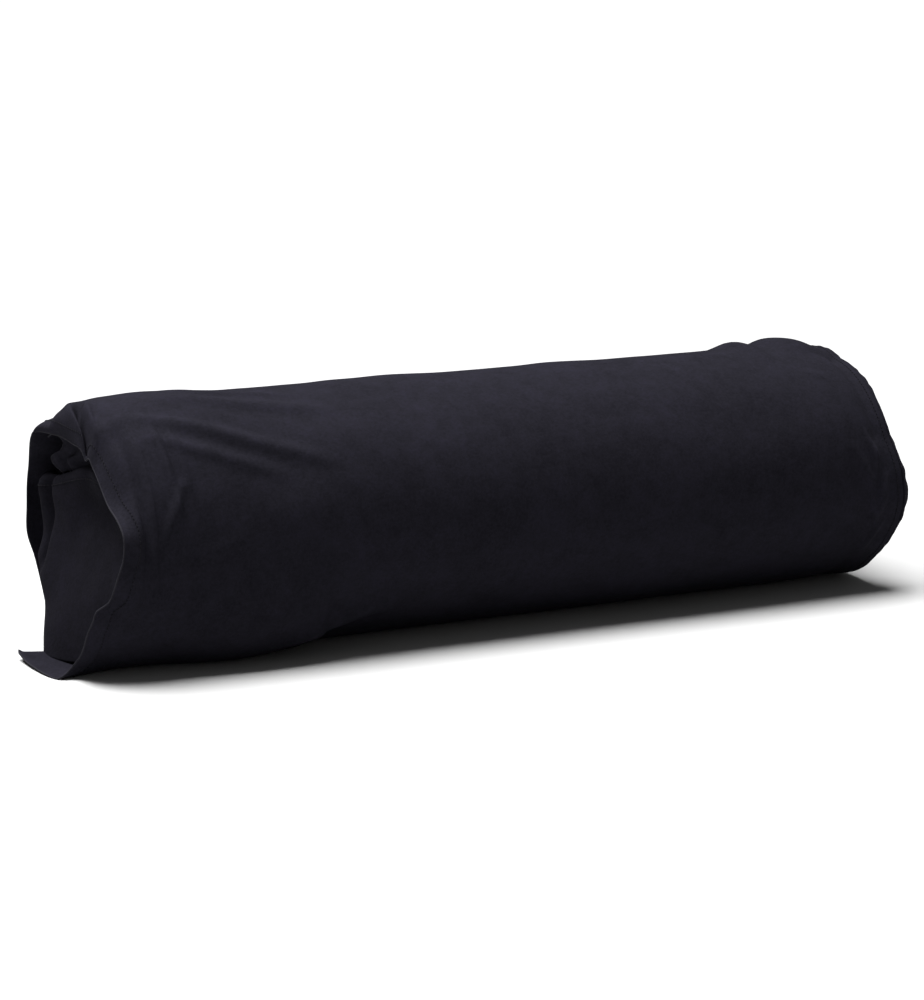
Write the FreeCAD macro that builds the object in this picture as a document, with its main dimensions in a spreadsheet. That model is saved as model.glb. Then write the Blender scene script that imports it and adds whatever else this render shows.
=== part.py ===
import FreeCAD, Part
import math
import operator
import os

import Sketcher

# Round massage bolster in a loose slip-over cloth cover.
#
# Frame: millimetres, +Z up. X runs along the bolster, and the cover's open mouth faces -X.
# The origin is the centre of the resting face, on the surface that the bolster lies on.
#
# The bolster is a foam log in polyester wadding, inside a sewn vinyl casing. A curved zip in the
# casing's mouth-side end panel lets the foam out. Foam gives a little under its own weight, so each
# layer's round section is cut by a flat at the bottom.
# The cover is a cloth sleeve, closed by a sewn end panel at +X. Its mouth runs past the end of the
# bolster, and a tuck flap inside the mouth keeps the bolster in.

DIMENSIONS = {
    # the bolster
    "bolster_length": 660.0,
    "bolster_radius": 101.6,
    "rest_depth": 2.9,
    "vinyl_thick": 1.2,
    "foam_radius": 95.0,
    "foam_length": 654.0,
    "foam_setback": 3.5,
    "layer_gap": 0.3,
    # the cover
    "half_length": 374.0,
    "cover_radius": 103.4,
    "cover_corner": 75.0,
    "cloth_thick": 1.2,
    "bolster_lift": 1.6,
    "lip_length": 40.0,
    "lip_height": 14.0,
    "mouth_overhang": 27.0,
    "end_depth": 8.0,
    "end_round": 7.0,
    # the tuck flap
    "flap_rim": 9.0,
    "flap_setback": 1.0,
    "flap_top": 168.0,
    "flap_hem": 8.0,
    "flap_hem_half": 60.0,
    # sewing thread, sunk in a groove
    "thread_width": 0.8,
    "thread_thick": 0.45,
    "thread_play": 0.05,
    "hem_depth": 14.0,
    "end_hem_depth": 3.0,
    "cover_seam_side": 20.0,
    "casing_seam_side": 12.0,
    "seam_margin": 4.0,
    # the zip, on an arc about the bolster's axis
    "zip_radius": 84.0,
    "zip_gap": 1.0,
    "coil_width": 2.5,
    "coil_height": 2.25,
    "tape_width": 13.5,
    "tape_thick": 0.6,
    "tape_overlap": 2.0,
    "slot_half": 6.0,
    "slot_from": -36.0,
    "slot_to": 196.0,
    "coil_from": -31.0,
    "coil_to": 186.0,
    "stop_arc": 2.0,
    "stop_height": 2.45,
    "slider_at": 180.0,
    "slider_arc": 4.0,
    "slider_plate": 1.0,
    "slider_top_half": 5.0,
    "slider_under_half": 4.0,
    "slider_wall": 1.0,
    "slider_play": 0.3,
    "post_thick": 0.5,
    "post_arc": 2.0,
    "bail_gap": 4.0,
    "bail_cheek": 0.8,
    "bail_height": 2.6,
    "bail_length": 2.4,
    "bar_radius": 0.6,
    "bar_height": 1.7,
    # the pull tab
    "eye_play": 0.08,
    "eye_radius": 1.3,
    "eye_width": 3.4,
    "pull_neck": 2.8,
    "pull_neck_width": 2.8,
    "pull_width": 5.5,
    "pull_length": 18.0,
    "pull_thick": 1.0,
    "pull_hole": 1.1,
    "pull_hole_at": 14.5,
}
SHEET = "dims"
MARGIN = 1.0  # how far a cutting profile runs past what it cuts
NO_CHANGE = 1e-3  # mm3
HALF_TURN = 180.0

START, END, CENTRE = 1, 2, 3
ORIGIN = (-1, 1)
VERTICAL_AXIS = -2

doc = FreeCAD.newDocument("bolster")
parts = []


class Size:
    """A length or angle: its number, and the same thing as an expression on the sheet's cells."""

    def __init__(self, number, text):
        self.number = number
        self.text = text

    def joined(self, sign, act, other):
        if not isinstance(other, Size):
            other = Size(other, repr(other))
        return Size(act(self.number, other.number), f"({self.text} {sign} {other.text})")

    def __add__(self, other):
        return self.joined("+", operator.add, other)

    def __sub__(self, other):
        return self.joined("-", operator.sub, other)

    def __mul__(self, other):
        return self.joined("*", operator.mul, other)

    def __truediv__(self, other):
        return self.joined("/", operator.truediv, other)

    def __neg__(self):
        return self * -1.0


class Sizes:
    """The sheet's cells, each as a Size."""

    def __init__(self):
        sheet = doc.addObject("Spreadsheet::Sheet", SHEET)
        for row, (alias, number) in enumerate(DIMENSIONS.items(), start=1):
            sheet.set(f"A{row}", alias)
            sheet.set(f"B{row}", str(number))
            sheet.setAlias(f"B{row}", alias)
            setattr(self, alias, Size(number, f"{SHEET}.{alias}"))


d = Sizes()
doc.recompute()
ZERO = Size(0.0, "0")

# Places worked out from the driving dimensions. Along X:
lip_x = -d.half_length
mouth_x = lip_x + d.lip_length
rim_x = d.half_length - d.end_depth
casing_left = mouth_x + d.mouth_overhang
casing_right = casing_left + d.bolster_length
foam_left = casing_left + d.foam_setback
# and the height of the bolster's axis:
axis_height = d.bolster_lift + d.bolster_radius - d.rest_depth
wadding_radius = d.bolster_radius - d.vinyl_thick - d.layer_gap


# --- bodies, sketches and features ---------------------------------------------------------------


def new_body(label, height=ZERO):
    """An empty body whose name is the sub-part's. height lifts it, for those on the bolster's axis."""
    body = doc.addObject("PartDesign::Body", label)
    body.Label = label
    if height is not ZERO:
        body.setExpression("Placement.Base.z", height.text)
    parts.append(body)
    return body


def new_sketch(body, plane, at=ZERO):
    """A sketch on one of the body's origin planes, moved by at along the plane's normal."""
    sketch = body.newObject("Sketcher::SketchObject", body.Name + "_sketch")
    origin_plane = next(f for f in body.Origin.OriginFeatures if f.Role == plane)
    sketch.AttachmentSupport = (origin_plane, [""])
    sketch.MapMode = "FlatFace"
    if at is not ZERO:
        sketch.setExpression("AttachmentOffset.Base.z", at.text)
    return sketch


def rule(sketch, kind, *which, size=None):
    """Adds a constraint, bound to an expression where it has a size."""
    if size is None:
        sketch.addConstraint(Sketcher.Constraint(kind, *which))
        return
    number = math.radians(size.number) if kind == "Angle" else size.number
    index = sketch.addConstraint(Sketcher.Constraint(kind, *which, number))
    unit = " * 1 deg" if kind == "Angle" else " * 1 mm"
    sketch.setExpression(f"Constraints[{index}]", size.text + unit)


def place(sketch, point, x=None, y=None):
    """Puts a point at x and y from the sketch's origin. A size that is None is left free."""
    for kind, size in (("DistanceX", x), ("DistanceY", y)):
        if size is None:
            continue
        if size.number < 0:
            rule(sketch, kind, *point, *ORIGIN, size=-size)
        else:
            rule(sketch, kind, *ORIGIN, *point, size=size)


def line(sketch, a, b):
    return sketch.addGeometry(Part.LineSegment(FreeCAD.Vector(*a), FreeCAD.Vector(*b)), False)


def arc(sketch, centre, radius, start, end):
    circle = Part.Circle(FreeCAD.Vector(*centre), FreeCAD.Vector(0, 0, 1), radius)
    return sketch.addGeometry(Part.ArcOfCircle(circle, start, end), False)


def round_with_flat(sketch, radius):
    """The section of one of the bolster's layers, about the sketch's origin."""
    flat = radius - d.rest_depth
    dip = math.asin(flat.number / radius.number)
    across = radius.number * math.cos(dip)
    top = arc(sketch, (0, 0), radius.number, -dip, math.pi + dip)
    base = line(sketch, (-across, -flat.number), (across, -flat.number))
    rule(sketch, "Coincident", top, END, base, START)
    rule(sketch, "Coincident", base, END, top, START)
    rule(sketch, "Coincident", top, CENTRE, *ORIGIN)
    rule(sketch, "Horizontal", base)
    rule(sketch, "Radius", top, size=radius)
    place(sketch, (base, START), y=-flat)


def cover_outline(sketch, inset):
    """The cover's section, inset from its outside: round on top, upright sides, and wide round
    corners where the slack cloth falls to the flat that the bolster rests on."""
    radius = d.cover_radius - inset
    corner = d.cover_corner - inset
    r, c, low = radius.number, corner.number, inset.number
    bend, height = d.cover_corner.number, axis_height.number
    side = d.cover_radius.number - bend
    quarter = math.pi / 2
    top = arc(sketch, (0, height), r, 0, math.pi)
    left = line(sketch, (-r, height), (-r, bend))
    left_corner = arc(sketch, (-side, bend), c, math.pi, 3 * quarter)
    base = line(sketch, (-side, low), (side, low))
    right_corner = arc(sketch, (side, bend), c, 3 * quarter, 4 * quarter)
    right = line(sketch, (r, bend), (r, height))
    loop = [top, left, left_corner, base, right_corner, right]
    for one, following in zip(loop, loop[1:] + loop[:1]):
        rule(sketch, "Tangent", one, END, following, START)
    rule(sketch, "Vertical", left)
    rule(sketch, "Vertical", right)
    rule(sketch, "Horizontal", base)
    rule(sketch, "PointOnObject", top, CENTRE, VERTICAL_AXIS)
    rule(sketch, "Equal", left_corner, right_corner)
    rule(sketch, "Radius", top, size=radius)
    rule(sketch, "Radius", left_corner, size=corner)
    place(sketch, (top, CENTRE), y=axis_height)
    place(sketch, (base, START), y=inset)


def ring_sector(sketch, inner, outer, start, end):
    """A piece of a flat ring about the sketch's origin, from the angle start to the angle end."""
    a, b = math.radians(start.number), math.radians(end.number)

    def at(radius, angle):
        return (radius.number * math.cos(angle), radius.number * math.sin(angle))

    inside = arc(sketch, (0, 0), inner.number, a, b)
    outside = arc(sketch, (0, 0), outer.number, a, b)
    for curve, radius in ((inside, inner), (outside, outer)):
        rule(sketch, "Coincident", curve, CENTRE, *ORIGIN)
        rule(sketch, "Radius", curve, size=radius)
    for angle, size, point in ((a, start, START), (b, end, END)):
        side = line(sketch, at(inner, angle), at(outer, angle))
        rule(sketch, "Coincident", side, START, inside, point)
        rule(sketch, "Coincident", side, END, outside, point)
        rule(sketch, "PointOnObject", *ORIGIN, side)
        rule(sketch, "Angle", side, size=size)


def box_outline(sketch, x0, x1, y0, y1):
    """A rectangle between two places each way."""
    corners = [(x0, y0), (x1, y0), (x1, y1), (x0, y1)]
    numbers = [(x.number, y.number) for x, y in corners]
    sides = [line(sketch, a, b) for a, b in zip(numbers, numbers[1:] + numbers[:1])]
    for one, following in zip(sides, sides[1:] + sides[:1]):
        rule(sketch, "Coincident", one, END, following, START)
    for kind, side in zip(("Horizontal", "Vertical") * 2, sides):
        rule(sketch, kind, side)
    place(sketch, (sides[0], START), x0, y0)
    place(sketch, (sides[2], START), x1, y1)


def circle_outline(sketch, radius, x, y):
    circle = Part.Circle(FreeCAD.Vector(x.number, y.number, 0), FreeCAD.Vector(0, 0, 1), radius.number)
    curve = sketch.addGeometry(circle, False)
    rule(sketch, "Radius", curve, size=radius)
    place(sketch, (curve, CENTRE), x, y)


def volume(body):
    return body.Shape.Volume if body.Tip else 0.0


def feature(body, kind, sketch, length, both_ways=False, reverse=False):
    """A pad or pocket of a sketch. It stops the script if the solid's volume doesn't change."""
    before = volume(body)
    made = body.newObject("PartDesign::" + kind, f"{body.Name}_{kind.lower()}")
    made.Profile = sketch
    made.setExpression("Length", length.text + " * 1 mm")
    if both_ways:
        made.Midplane = True
    made.Reversed = reverse
    doc.recompute()
    change = volume(body) - before
    if (change if kind == "Pad" else -change) < NO_CHANGE:
        raise ValueError(f"{made.Name} changes the volume by {change:.4f} mm3")
    return made


def pad(body, plane, at, length, outline, *sizes, **how):
    """Pads an outline from a place along the plane's normal."""
    sketch = new_sketch(body, plane, at)
    outline(sketch, *sizes)
    return feature(body, "Pad", sketch, length, **how)


def pocket(body, plane, at, length, outline, *sizes, **how):
    """Cuts an outline away from a place along the plane's normal, the same way as a pad goes."""
    sketch = new_sketch(body, plane, at)
    outline(sketch, *sizes)
    return feature(body, "Pocket", sketch, length, reverse=not how.get("both_ways"), **how)


def fillet(body, radius, wanted):
    """Rounds the edges of the body's last feature that the test picks."""
    base = body.Tip
    names = [f"Edge{i}" for i, e in enumerate(base.Shape.Edges, start=1) if wanted(e)]
    made = body.newObject("PartDesign::Fillet", body.Name + "_fillet")
    made.Base = (base, names)
    made.setExpression("Radius", radius.text + " * 1 mm")
    doc.recompute()


def lies_at_x(edge, x):
    return abs(edge.BoundBox.XMin - x) < NO_CHANGE and abs(edge.BoundBox.XMax - x) < NO_CHANGE


# --- threads and the grooves that they lie in ----------------------------------------------------

groove_width = d.thread_width + d.thread_play * 2
groove_depth = d.thread_thick + d.thread_play * 2


def cover_ring(sketch, shallow, deep):
    cover_outline(sketch, shallow)
    cover_outline(sketch, deep)


def casing_ring(sketch, shallow, deep):
    round_with_flat(sketch, d.bolster_radius - shallow)
    round_with_flat(sketch, d.bolster_radius - deep)


def ring_groove(body, x, ring):
    pocket(body, "YZ_Plane", x, groove_width, ring, Size(-MARGIN, repr(-MARGIN)), groove_depth)


def ring_thread(label, x, ring, height=ZERO):
    body = new_body(label, height)
    shallow = d.thread_play
    pad(body, "YZ_Plane", x + d.thread_play, d.thread_width, ring, shallow, shallow + d.thread_thick)


def long_groove(body, side, x0, x1, underside):
    """A groove along X in the underside of a layer, at side across."""
    half = groove_width / 2
    low = underside - MARGIN
    pocket(body, "XY_Plane", low, groove_depth + MARGIN, box_outline, x0, x1, side - half, side + half)


def long_thread(label, side, x0, x1, underside, height=ZERO):
    body = new_body(label, height)
    half = d.thread_width / 2
    x_play = d.thread_play
    pad(
        body,
        "XY_Plane",
        underside + d.thread_play,
        d.thread_thick,
        box_outline,
        x0 + x_play,
        x1 - x_play,
        side - half,
        side + half,
    )


# --- the cloth cover -----------------------------------------------------------------------------

mouth_hem_x = mouth_x + d.hem_depth
end_hem_x = rim_x - d.end_hem_depth - groove_width
cover_seam = (d.cover_seam_side, mouth_hem_x + d.seam_margin, end_hem_x - d.seam_margin, ZERO)


def mouth_profile(sketch):
    """What is cut off the mouth, from the side: all that is above a lip at the bottom, which a
    quarter round joins to the mouth."""
    r = d.lip_length.number
    x, z = lip_x.number, d.lip_height.number
    outside, top = x - MARGIN, axis_height.number + d.cover_radius.number + MARGIN
    bend = arc(sketch, (x, z + r), r, -math.pi / 2, 0)
    up = line(sketch, (x + r, z + r), (x + r, top))
    over = line(sketch, (x + r, top), (outside, top))
    down = line(sketch, (outside, top), (outside, z))
    back = line(sketch, (outside, z), (x, z))
    loop = [bend, up, over, down, back]
    for one, following in zip(loop, loop[1:] + loop[:1]):
        rule(sketch, "Coincident", one, END, following, START)
    rule(sketch, "Vertical", up)
    rule(sketch, "Horizontal", over)
    rule(sketch, "Vertical", down)
    rule(sketch, "Horizontal", back)
    rule(sketch, "Radius", bend, size=d.lip_length)
    place(sketch, (bend, CENTRE), lip_x, d.lip_height + d.lip_length)
    place(sketch, (bend, START), x=lip_x)
    place(sketch, (bend, END), y=d.lip_height + d.lip_length)
    place(sketch, (over, END), lip_x - MARGIN, axis_height + d.cover_radius + MARGIN)


def cover_sleeve():
    body = new_body("cover_sleeve")
    pad(body, "YZ_Plane", lip_x, rim_x - lip_x, cover_ring, ZERO, d.cloth_thick)
    pocket(body, "XZ_Plane", ZERO, d.half_length, mouth_profile, both_ways=True)
    ring_groove(body, mouth_hem_x, cover_ring)
    ring_groove(body, end_hem_x, cover_ring)
    long_groove(body, *cover_seam)


def cover_end_panel():
    """A shallow dish, sewn to the sleeve's rim."""
    body = new_body("cover_end_panel")
    inside = d.half_length - d.cloth_thick
    pad(body, "YZ_Plane", rim_x, d.end_depth, cover_outline, ZERO)
    pocket(body, "YZ_Plane", rim_x, d.end_depth - d.cloth_thick, cover_outline, d.cloth_thick)
    fillet(body, d.end_round - d.cloth_thick, lambda e: lies_at_x(e, inside.number))
    fillet(body, d.end_round, lambda e: lies_at_x(e, d.half_length.number))


flap_x = mouth_x + d.flap_setback
flap_hem_z = d.flap_top - d.flap_hem


def cover_tuck_flap():
    """A cloth flap across the mouth, with a margin that turns in along the sleeve's wall. The
    margin is left out along the near side, where the flap hangs free."""
    body = new_body("cover_tuck_flap")
    inset = d.cloth_thick + d.layer_gap
    wide = d.cover_radius + MARGIN
    behind = flap_x + d.cloth_thick
    margin = d.flap_rim - d.cloth_thick
    pad(body, "YZ_Plane", flap_x, d.flap_rim, cover_outline, inset)
    pocket(body, "YZ_Plane", behind, margin, cover_outline, inset + d.cloth_thick)
    above = (-wide, wide, d.flap_top, d.flap_top + d.cover_radius)
    pocket(body, "YZ_Plane", flap_x, d.flap_rim, box_outline, *above)
    near = (-wide, -d.flap_hem_half, d.cover_corner / 2, d.flap_top)
    pocket(body, "YZ_Plane", behind, margin, box_outline, *near)
    half = groove_width / 2
    hem = (-d.flap_hem_half, d.flap_hem_half, flap_hem_z - half, flap_hem_z + half)
    pocket(body, "YZ_Plane", flap_x, groove_depth, box_outline, *hem)


def flap_hem_stitching():
    body = new_body("flap_hem_stitching")
    across = d.flap_hem_half - d.thread_play
    half = d.thread_width / 2
    hem = (-across, across, flap_hem_z - half, flap_hem_z + half)
    pad(body, "YZ_Plane", flap_x + d.thread_play, d.thread_thick, box_outline, *hem)


# --- the bolster ---------------------------------------------------------------------------------

casing_seam_left = casing_left + d.vinyl_thick + d.seam_margin
casing_seam_right = casing_right - d.vinyl_thick - d.seam_margin - groove_width
casing_seam = (
    -d.casing_seam_side,
    casing_seam_left + groove_width + d.seam_margin,
    casing_seam_right - d.seam_margin,
    -(d.bolster_radius - d.rest_depth),
)


def log(label, radius, inner=None):
    """A layer of the log: foam, or wadding round it."""
    body = new_body(label, axis_height)

    def section(sketch):
        round_with_flat(sketch, radius)
        if inner is not None:
            round_with_flat(sketch, inner)

    pad(body, "YZ_Plane", foam_left, d.foam_length, section)


def casing_wrap():
    body = new_body("casing_wrap", axis_height)
    length = d.bolster_length - d.vinyl_thick * 2
    pad(body, "YZ_Plane", casing_left + d.vinyl_thick, length, casing_ring, ZERO, d.vinyl_thick)
    ring_groove(body, casing_seam_left, casing_ring)
    ring_groove(body, casing_seam_right, casing_ring)
    long_groove(body, *casing_seam)


slot_inner = d.zip_radius - d.slot_half
slot_outer = d.zip_radius + d.slot_half
zip_seams = {
    "zip_stitching_inner": slot_inner - d.tape_overlap,
    "zip_stitching_outer": slot_outer + d.tape_overlap,
}


def casing_end_left():
    """The mouth-side end panel, with the curved slot that the zip closes."""
    body = new_body("casing_end_left", axis_height)
    pad(body, "YZ_Plane", casing_left, d.vinyl_thick, round_with_flat, d.bolster_radius)
    slot = (slot_inner, slot_outer, d.slot_from, d.slot_to)
    pocket(body, "YZ_Plane", casing_left, d.vinyl_thick, ring_sector, *slot)
    half = groove_width / 2
    for radius in zip_seams.values():
        seam = (radius - half, radius + half, d.slot_from, d.slot_to)
        pocket(body, "YZ_Plane", casing_left, groove_depth, ring_sector, *seam)


def casing_end_right():
    body = new_body("casing_end_right", axis_height)
    pad(body, "YZ_Plane", casing_right - d.vinyl_thick, d.vinyl_thick, round_with_flat, d.bolster_radius)


# --- the zip -------------------------------------------------------------------------------------

tape_x = casing_left + d.vinyl_thick + d.thread_play
chain_inner = d.zip_radius - d.zip_gap / 2
chain_outer = d.zip_radius + d.zip_gap / 2


def sector_part(label, x, length, *sector):
    body = new_body(label, axis_height)
    pad(body, "YZ_Plane", x, length, ring_sector, *sector)
    return body


def zip_chain():
    """Two tapes under the casing's slot, and a coil on the edge of each."""
    ends = (d.slot_from - d.tape_overlap, d.slot_to + d.tape_overlap)
    coil_x = tape_x - d.coil_height
    tape = d.tape_width
    coil = d.coil_width
    sector_part("zip_tape_inner", tape_x, d.tape_thick, chain_inner - tape, chain_inner, *ends)
    sector_part("zip_tape_outer", tape_x, d.tape_thick, chain_outer, chain_outer + tape, *ends)
    teeth = (d.coil_from, d.coil_to)
    sector_part("zip_coil_inner", coil_x, d.coil_height, chain_inner - coil, chain_inner, *teeth)
    sector_part("zip_coil_outer", coil_x, d.coil_height, chain_outer, chain_outer + coil, *teeth)


def zip_stops():
    """One stop across both coils where the zip opens to, and one on each coil where it closes."""
    x = tape_x - d.stop_height
    inner, outer = chain_inner - d.coil_width, chain_outer + d.coil_width
    bottom = (d.coil_from - d.stop_arc, d.coil_from)
    top = (d.coil_to, d.coil_to + d.stop_arc)
    sector_part("zip_bottom_stop", x, d.stop_height, inner, outer, *bottom)
    sector_part("zip_top_stop_inner", x, d.stop_height, inner, chain_inner, *top)
    sector_part("zip_top_stop_outer", x, d.stop_height, chain_outer, outer, *top)


def zip_stitching():
    half = d.thread_width / 2
    ends = (d.slot_from + d.thread_play, d.slot_to - d.thread_play)
    for label, radius in zip_seams.items():
        x = casing_left + d.thread_play
        sector_part(label, x, d.thread_thick, radius - half, radius + half, *ends)


slider_top_x = tape_x - d.coil_height - d.slider_play - d.slider_plate
bar_x = slider_top_x - d.bar_height


def zip_slider():
    """A top plate with side walls, and an under plate below the tapes, joined by a post that runs
    between the coils. A bail on top carries the pull."""
    arc_ends = (d.slider_at - d.slider_arc, d.slider_at + d.slider_arc)
    low, high = d.zip_radius - d.slider_top_half, d.zip_radius + d.slider_top_half
    under_x = tape_x + d.tape_thick + d.slider_play
    wall_length = d.coil_height
    body = sector_part("zip_slider", slider_top_x, d.slider_plate, low, high, *arc_ends)
    wall_x = slider_top_x + d.slider_plate
    for a, b in ((low, low + d.slider_wall), (high - d.slider_wall, high)):
        pad(body, "YZ_Plane", wall_x, wall_length, ring_sector, a, b, *arc_ends)
    post = d.post_thick / 2
    post_ends = (d.slider_at - d.post_arc, d.slider_at + d.post_arc)
    post_ring = (d.zip_radius - post, d.zip_radius + post)
    pad(body, "YZ_Plane", wall_x, under_x - wall_x, ring_sector, *post_ring, *post_ends)
    under = (d.zip_radius - d.slider_under_half, d.zip_radius + d.slider_under_half)
    pad(body, "YZ_Plane", under_x, d.slider_plate, ring_sector, *under, *arc_ends)
    half_gap, half_length = d.bail_gap / 2, d.bail_length / 2
    for a, b in ((-half_gap - d.bail_cheek, -half_gap), (half_gap, half_gap + d.bail_cheek)):
        cheek = (a - d.zip_radius, b - d.zip_radius, -half_length, half_length)
        pad(body, "YZ_Plane", slider_top_x - d.bail_height, d.bail_height, box_outline, *cheek)
    bar_length = d.bail_gap + d.bail_cheek
    bar_from = d.zip_radius - bar_length / 2
    pad(body, "XZ_Plane", bar_from, bar_length, circle_outline, d.bar_radius, bar_x, ZERO)


def zip_pull():
    """A flat tab that hangs from the bail by a round eye."""
    body = new_body("zip_pull", axis_height)
    thick = (bar_x - d.pull_thick / 2, bar_x + d.pull_thick / 2)

    def strip(width, top, bottom):
        at = d.zip_radius - width / 2
        pad(body, "XZ_Plane", at, width, box_outline, *thick, -bottom, -top)

    eye_at = d.zip_radius - d.eye_width / 2
    pad(body, "XZ_Plane", eye_at, d.eye_width, circle_outline, d.eye_radius, bar_x, ZERO)
    strip(d.pull_neck_width, d.eye_radius - d.pull_thick / 2, d.pull_neck)
    strip(d.pull_width, d.pull_neck, d.pull_length)
    eye_hole = (d.bar_radius + d.eye_play, bar_x, ZERO)
    pocket(body, "XZ_Plane", eye_at, d.eye_width, circle_outline, *eye_hole)
    grip_hole = (d.pull_hole, -d.zip_radius, -d.pull_hole_at)
    pocket(body, "YZ_Plane", thick[0], d.pull_thick, circle_outline, *grip_hole)
    corner = d.pull_width / 4

    def at_the_tip(edge):
        box = edge.BoundBox
        along_x = box.XLength > NO_CHANGE and box.YLength + box.ZLength < NO_CHANGE
        return along_x and abs(box.ZMin + d.pull_length.number) < NO_CHANGE

    fillet(body, corner, at_the_tip)


# --- build, check and write ----------------------------------------------------------------------


def build():
    cover_sleeve()
    cover_end_panel()
    cover_tuck_flap()
    ring_thread("mouth_hem_stitching", mouth_hem_x, cover_ring)
    ring_thread("end_seam_stitching", end_hem_x, cover_ring)
    long_thread("side_seam_stitching", *cover_seam)
    flap_hem_stitching()
    log("foam_core", d.foam_radius)
    log("wadding_wrap", wadding_radius, d.foam_radius + d.layer_gap)
    casing_wrap()
    casing_end_left()
    casing_end_right()
    ring_thread("casing_seam_stitching_left", casing_seam_left, casing_ring, axis_height)
    ring_thread("casing_seam_stitching_right", casing_seam_right, casing_ring, axis_height)
    long_thread("casing_long_stitching", *casing_seam, axis_height)
    zip_chain()
    zip_stops()
    zip_stitching()
    zip_slider()
    zip_pull()
    doc.recompute()


def write():
    for thing in doc.Objects:
        if {"Invalid", "Error"} & set(thing.State):
            raise ValueError(f"{thing.Name} failed: {thing.State}")
    for body in parts:
        shape = body.Shape
        if shape.isNull() or not shape.isValid() or not shape.Solids:
            raise ValueError(f"{body.Label} has no valid solid")
    os.makedirs("parts", exist_ok=True)
    for body in parts:
        body.Shape.exportStep(os.path.join("parts", body.Label + ".step"))
        box = body.Shape.BoundBox
        print(f"{body.Label}: {box.XLength:.1f} x {box.YLength:.1f} x {box.ZLength:.1f} mm, "
              f"{body.Shape.Volume / 1000:.2f} cm3")


build()
write()
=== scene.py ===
import math

import bmesh
import bpy
import numpy as np
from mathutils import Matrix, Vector


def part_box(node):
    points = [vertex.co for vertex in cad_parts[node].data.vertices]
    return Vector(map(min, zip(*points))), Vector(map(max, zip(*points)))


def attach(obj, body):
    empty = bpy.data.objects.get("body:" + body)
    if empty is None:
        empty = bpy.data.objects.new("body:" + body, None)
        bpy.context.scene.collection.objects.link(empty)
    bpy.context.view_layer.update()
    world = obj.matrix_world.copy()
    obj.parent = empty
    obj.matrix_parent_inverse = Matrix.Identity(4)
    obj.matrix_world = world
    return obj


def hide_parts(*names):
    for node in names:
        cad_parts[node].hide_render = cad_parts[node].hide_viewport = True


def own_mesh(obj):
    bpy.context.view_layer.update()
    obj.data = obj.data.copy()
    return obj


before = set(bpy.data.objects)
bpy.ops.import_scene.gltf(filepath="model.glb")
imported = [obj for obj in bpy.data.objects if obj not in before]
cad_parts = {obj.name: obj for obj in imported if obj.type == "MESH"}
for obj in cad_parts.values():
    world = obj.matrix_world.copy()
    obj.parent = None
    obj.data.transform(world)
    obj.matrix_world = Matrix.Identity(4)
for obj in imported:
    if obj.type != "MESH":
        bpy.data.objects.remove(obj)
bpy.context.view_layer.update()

# A round massage bolster in a slip-over cloth cover. Lengths below are in millimetres, in the CAD frame,
# and become metres as each mesh is made. Angles round the bolster's axis, "turn", are in degrees from +Y
# towards +Z, so 90 is the top, 180 the near side (-Y) and 270 the bottom.

MM = 0.001
SEED = 11

# --- sizes that the frame gives -------------------


def node_box(*nodes):
    """The lowest and highest corners of some CAD nodes together, in millimetres."""
    lows, highs = zip(*(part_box(node) for node in nodes))
    return np.min(lows, axis=0) / MM, np.max(highs, axis=0) / MM


sleeve_high = node_box("cover_sleeve")[1]
casing_low, casing_high = node_box("casing_wrap", "casing_end_left", "casing_end_right")
foam_low, foam_high = node_box("foam_core")
wadding_low, wadding_high = node_box("wadding_wrap")

COVER_RADIUS = sleeve_high[1]
AXIS_Z = sleeve_high[2] - COVER_RADIUS
CASING_RADIUS = casing_high[1]
CASING_FLAT = AXIS_Z - casing_low[2]
END_SEAM_X = sleeve_high[0]
BOLSTER_END_X = casing_low[0]
BOLSTER_FAR_X = casing_high[0]

# --- mesh helpers ---------------------------------


def add_mesh(name, points, faces, smooth=True):
    """A mesh object from points in millimetres."""
    mesh = bpy.data.meshes.new(name)
    mesh.from_pydata((np.asarray(points, float) * MM).tolist(), [], faces)
    mesh.validate()
    mesh.update()
    piece = bpy.data.objects.new(name, mesh)
    bpy.context.scene.collection.objects.link(piece)
    for polygon in mesh.polygons:
        polygon.use_smooth = smooth
    return piece


def grid_faces(rows, columns, wrap):
    """Quads of a grid of points, row by row, with the last column joined to the first if wrap."""
    faces = []
    for r in range(rows - 1):
        for c in range(columns if wrap else columns - 1):
            d = (c + 1) % columns
            faces.append((r * columns + c, r * columns + d, (r + 1) * columns + d, (r + 1) * columns + c))
    return faces


def grid_piece(name, grid, wrap=False):
    rows, columns = grid.shape[:2]
    return add_mesh(name, grid.reshape(-1, 3), grid_faces(rows, columns, wrap))


def apply_modifiers(piece):
    """Makes what the modifiers show the piece's own mesh."""
    graph = bpy.context.evaluated_depsgraph_get()
    mesh = bpy.data.meshes.new_from_object(piece.evaluated_get(graph))
    piece.modifiers.clear()
    piece.data = mesh


def solidify(piece, thickness):
    """Gives a sheet its thickness, half to each side of its points."""
    made = piece.modifiers.new("thickness", "SOLIDIFY")
    made.thickness = thickness * MM
    made.offset = 0.0
    made.use_rim = True
    return made


def subdivide(piece):
    made = piece.modifiers.new("smooth", "SUBSURF")
    made.levels = 1
    made.render_levels = 1


def soft_floor(x, ease):
    """x where it is well above nothing, and an even approach to nothing below."""
    return ease * np.logaddexp(0, np.asarray(x) / ease)


def smooth_step(low, high, x):
    """0 below low, 1 above high, and an even ease between."""
    t = np.clip((x - low) / (high - low), 0, 1)
    return t * t * (3 - 2 * t)


def bump(x, middle, width):
    """A smooth hill of height 1, about twice width across."""
    return np.exp(-(((x - middle) / width) ** 2))


def turn_from(turn, middle):
    """How far a turn is from another, in degrees, by the shorter way."""
    return (np.asarray(turn, float) - middle + 180.0) % 360.0 - 180.0


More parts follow.
